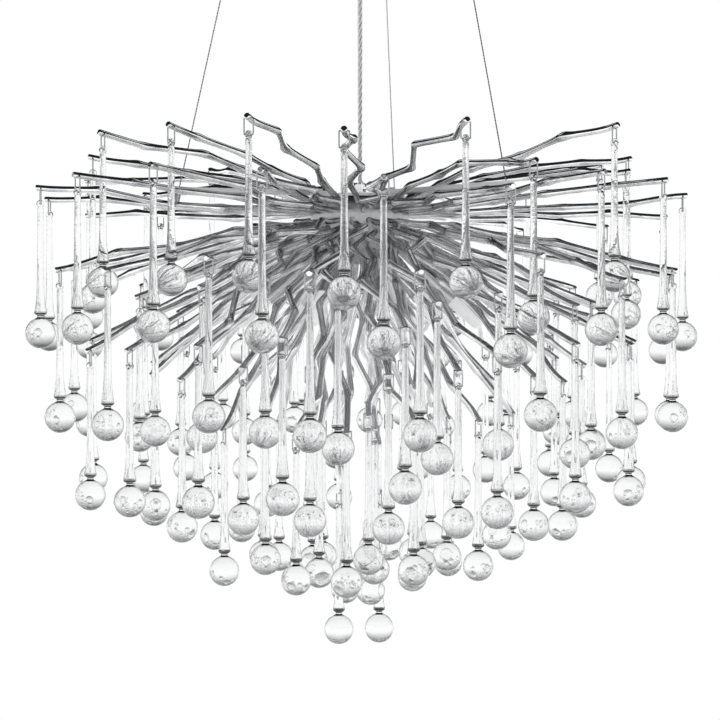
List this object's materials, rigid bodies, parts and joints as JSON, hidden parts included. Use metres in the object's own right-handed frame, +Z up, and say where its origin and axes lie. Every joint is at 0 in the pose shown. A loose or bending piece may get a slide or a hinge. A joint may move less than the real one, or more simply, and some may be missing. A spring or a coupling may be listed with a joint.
{
  "type": "chandelier",
  "caption": "Hanging chandelier of crooked chrome twigs fanned out from a hollow hub, each tip holding a clear glass drop on a wire link, on three steel cables below a round canopy.",
  "frame": {"origin": "centre of the ceiling bracket, on the ceiling plane", "axes": "+Z up out of the ceiling, -Y the front that faces the viewer, +X to the viewer's right"},
  "size_m": [0.6747, 0.683, 0.7416],
  "materials": {
    "drop_glass": "gloss",
    "twig_chrome": "polished",
    "polished_chrome": "polished",
    "link_wire": "polished",
    "steel_cable": "satin",
    "cord_jacket": "gloss",
    "lamp_glass": "satin",
    "socket_ceramic": "matte",
    "satin_metal": "satin",
    "lead_jacket": "matte",
    "block_plastic": "matte",
    "plated_steel": "satin",
    "bush_plastic": "gloss"
  },
  "bodies": {
    "fitting": {"cable_end_stops": "polished_chrome", "cable_grippers": "polished_chrome", "canopy_cord_bush": "bush_plastic", "canopy_cup": "polished_chrome", "canopy_side_screws": "plated_steel", "ceiling_bracket": "plated_steel", "crown_drops": "drop_glass", "crown_twigs": "twig_chrome", "drop_links": "link_wire", "foot_drops": "drop_glass", "foot_twigs": "twig_chrome", "gland_grub_screw": "plated_steel", "hub_body": "polished_chrome", "hub_cord_gland": "polished_chrome", "hub_plate": "polished_chrome", "hub_screws": "plated_steel", "hub_terminal_block": "block_plastic", "lamp_leads": "lead_jacket", "lamp_sockets": "socket_ceramic", "lamp_tubes": "satin_metal", "level_twigs": "twig_chrome", "lower_drops": "drop_glass", "lower_twigs": "twig_chrome", "mains_terminal_block": "block_plastic", "power_cord": "cord_jacket", "suspension_arms": "polished_chrome", "suspension_cable_1": "steel_cable", "suspension_cable_2": "steel_cable", "suspension_cable_3": "steel_cable", "upper_drops": "drop_glass", "upper_twigs": "twig_chrome"},
    "level_drop_1": {"level_drop_1": "drop_glass"},
    "level_drop_2": {"level_drop_2": "drop_glass"},
    "level_drop_3": {"level_drop_3": "drop_glass"},
    "level_drop_4": {"level_drop_4": "drop_glass"},
    "level_drop_5": {"level_drop_5": "drop_glass"},
    "level_drop_6": {"level_drop_6": "drop_glass"},
    "level_drop_7": {"level_drop_7": "drop_glass"},
    "level_drop_8": {"level_drop_8": "drop_glass"},
    "level_drop_9": {"level_drop_9": "drop_glass"},
    "level_drop_10": {"level_drop_10": "drop_glass"},
    "level_drop_11": {"level_drop_11": "drop_glass"},
    "level_drop_12": {"level_drop_12": "drop_glass"},
    "level_drop_13": {"level_drop_13": "drop_glass"},
    "level_drop_14": {"level_drop_14": "drop_glass"},
    "level_drop_15": {"level_drop_15": "drop_glass"},
    "level_drop_16": {"level_drop_16": "drop_glass"},
    "level_drop_17": {"level_drop_17": "drop_glass"},
    "level_drop_18": {"level_drop_18": "drop_glass"},
    "lamp_1": {"lamp_1": "lamp_glass"},
    "lamp_2": {"lamp_2": "lamp_glass"},
    "lamp_3": {"lamp_3": "lamp_glass"},
    "lamp_4": {"lamp_4": "lamp_glass"},
    "lamp_5": {"lamp_5": "lamp_glass"},
    "lamp_6": {"lamp_6": "lamp_glass"},
    "gripper_plunger_1": {"gripper_plunger_1": "polished_chrome"},
    "gripper_plunger_2": {"gripper_plunger_2": "polished_chrome"},
    "gripper_plunger_3": {"gripper_plunger_3": "polished_chrome"}
  },
  "joints": [
    {"name": "level_drop_1_swing", "type": "hinge", "parent": "fitting", "child": "level_drop_1", "pos_m": [0.28863, -0.12916, -0.29712], "axis": [0.4085, 0.9128, 0], "range_deg": [-20, 10]},
    {"name": "level_drop_2_swing", "type": "hinge", "parent": "fitting", "child": "level_drop_2", "pos_m": [0.32444, -0.02276, -0.30296], "axis": [0.07, 0.9975, 0], "range_deg": [-20, 10]},
    {"name": "level_drop_3_swing", "type": "hinge", "parent": "fitting", "child": "level_drop_3", "pos_m": [0.32108, 0.08575, -0.31634], "axis": [-0.258, 0.9661, 0], "range_deg": [-20, 10]},
    {"name": "level_drop_4_swing", "type": "hinge", "parent": "fitting", "child": "level_drop_4", "pos_m": [0.2723, 0.18911, -0.32008], "axis": [-0.5704, 0.8213, 0], "range_deg": [-20, 10]},
    {"name": "level_drop_5_swing", "type": "hinge", "parent": "fitting", "child": "level_drop_5", "pos_m": [0.18412, 0.25936, -0.31922], "axis": [-0.8154, 0.5789, 0], "range_deg": [-20, 10]},
    {"name": "level_drop_6_swing", "type": "hinge", "parent": "fitting", "child": "level_drop_6", "pos_m": [0.09228, 0.32172, -0.32256], "axis": [-0.9612, 0.2757, 0], "range_deg": [-20, 10]},
    {"name": "level_drop_7_swing", "type": "hinge", "parent": "fitting", "child": "level_drop_7", "pos_m": [-0.02706, 0.32952, -0.30886], "axis": [-0.9966, -0.0818, 0], "range_deg": [-20, 10]},
    {"name": "level_drop_8_swing", "type": "hinge", "parent": "fitting", "child": "level_drop_8", "pos_m": [-0.13727, 0.29921, -0.31655], "axis": [-0.9089, -0.417, 0], "range_deg": [-20, 10]},
    {"name": "level_drop_9_swing", "type": "hinge", "parent": "fitting", "child": "level_drop_9", "pos_m": [-0.22627, 0.23032, -0.30126], "axis": [-0.7133, -0.7008, 0], "range_deg": [-20, 10]},
    {"name": "level_drop_10_swing", "type": "hinge", "parent": "fitting", "child": "level_drop_10", "pos_m": [-0.29464, 0.14309, -0.31072], "axis": [-0.4368, -0.8995, 0], "range_deg": [-20, 10]},
    {"name": "level_drop_11_swing", "type": "hinge", "parent": "fitting", "child": "level_drop_11", "pos_m": [-0.32036, 0.02749, -0.3026], "axis": [-0.0855, -0.9963, 0], "range_deg": [-20, 10]},
    {"name": "level_drop_12_swing", "type": "hinge", "parent": "fitting", "child": "level_drop_12", "pos_m": [-0.31187, -0.08131, -0.30027], "axis": [0.2523, -0.9677, 0], "range_deg": [-20, 10]},
    {"name": "level_drop_13_swing", "type": "hinge", "parent": "fitting", "child": "level_drop_13", "pos_m": [-0.26071, -0.1855, -0.29769], "axis": [0.5798, -0.8148, 0], "range_deg": [-20, 10]},
    {"name": "level_drop_14_swing", "type": "hinge", "parent": "fitting", "child": "level_drop_14", "pos_m": [-0.18195, -0.26939, -0.2967], "axis": [0.8287, -0.5597, 0], "range_deg": [-20, 10]},
    {"name": "level_drop_15_swing", "type": "hinge", "parent": "fitting", "child": "level_drop_15", "pos_m": [-0.0836, -0.32354, -0.30637], "axis": [0.9682, -0.2502, 0], "range_deg": [-20, 10]},
    {"name": "level_drop_16_swing", "type": "hinge", "parent": "fitting", "child": "level_drop_16", "pos_m": [0.02027, -0.3153, -0.31146], "axis": [0.9979, 0.0642, 0], "range_deg": [-20, 10]},
    {"name": "level_drop_17_swing", "type": "hinge", "parent": "fitting", "child": "level_drop_17", "pos_m": [0.12952, -0.30889, -0.31869], "axis": [0.9222, 0.3867, 0], "range_deg": [-20, 10]},
    {"name": "level_drop_18_swing", "type": "hinge", "parent": "fitting", "child": "level_drop_18", "pos_m": [0.21722, -0.23076, -0.29905], "axis": [0.7281, 0.6854, 0], "range_deg": [-20, 10]},
    {"name": "lamp_1_pull", "type": "slide", "parent": "fitting", "child": "lamp_1", "axis": [-0.2784, -0.689, -0.6691], "range_m": [0, 0.02]},
    {"name": "lamp_2_pull", "type": "slide", "parent": "fitting", "child": "lamp_2", "axis": [0.4575, -0.5856, -0.6691], "range_m": [0, 0.02]},
    {"name": "lamp_3_pull", "type": "slide", "parent": "fitting", "child": "lamp_3", "axis": [0.7359, 0.1034, -0.6691], "range_m": [0, 0.02]},
    {"name": "lamp_4_pull", "type": "slide", "parent": "fitting", "child": "lamp_4", "axis": [0.2784, 0.689, -0.6691], "range_m": [0, 0.02]},
    {"name": "lamp_5_pull", "type": "slide", "parent": "fitting", "child": "lamp_5", "axis": [-0.4575, 0.5856, -0.6691], "range_m": [0, 0.02]},
    {"name": "lamp_6_pull", "type": "slide", "parent": "fitting", "child": "lamp_6", "axis": [-0.7359, -0.1034, -0.6691], "range_m": [0, 0.02]},
    {"name": "gripper_plunger_1_press", "type": "slide", "parent": "fitting", "child": "gripper_plunger_1", "axis": [-0.1614, 0.1453, 0.9761], "range_m": [0, 0.0025], "stiffness_N_per_m": 300, "springref_m": -0.002},
    {"name": "gripper_plunger_2_press", "type": "slide", "parent": "fitting", "child": "gripper_plunger_2", "axis": [-0.0451, -0.2124, 0.9761], "range_m": [0, 0.0025], "stiffness_N_per_m": 300, "springref_m": -0.002},
    {"name": "gripper_plunger_3_press", "type": "slide", "parent": "fitting", "child": "gripper_plunger_3", "axis": [0.2065, 0.0671, 0.9761], "range_m": [0, 0.0025], "stiffness_N_per_m": 300, "springref_m": -0.002}
  ]
}
